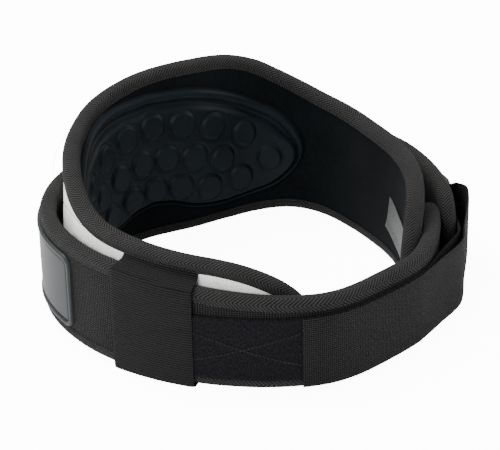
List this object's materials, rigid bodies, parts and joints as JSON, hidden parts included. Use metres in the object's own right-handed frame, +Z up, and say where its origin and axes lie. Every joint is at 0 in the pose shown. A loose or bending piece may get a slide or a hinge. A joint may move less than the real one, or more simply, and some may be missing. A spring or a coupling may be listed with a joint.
{
  "type": "weightlifting belt",
  "caption": "Contoured padded lifting belt closed in a loop, with a raised lumbar pad inside, a lower padded outer band, an elastic keeper and a wide pull strap through a wire ring",
  "frame": {"origin": "under the middle of the belt's bounding box, on the surface that it stands on", "axes": "+Z up, the middle of the back at +Y, the closure at -Y, the wearer's right at -X"},
  "size_m": [0.3594, 0.3454, 0.165],
  "materials": {
    "lining": "brushed fleece",
    "binding": "herringbone tape",
    "facing": "pebbled cloth",
    "moulded_pad": "matte",
    "canvas": "coarse canvas weave",
    "patch": "satin",
    "elastic": "ribbed elastic",
    "strap_webbing": "coarse webbing",
    "ring": "gloss black",
    "holder_webbing": "webbing",
    "label": "satin"
  },
  "bodies": {
    "root": {"inner_body": "lining", "inner_body_binding": "binding", "outer_facing": "facing", "lumbar_pad": "moulded_pad", "outer_band": "canvas", "outer_band_binding": "binding", "rubber_patch": "patch", "keeper": "elastic", "strap": "strap_webbing", "ring": "ring", "ring_holder": "holder_webbing", "care_label": "label"}
  },
  "joints": []
}
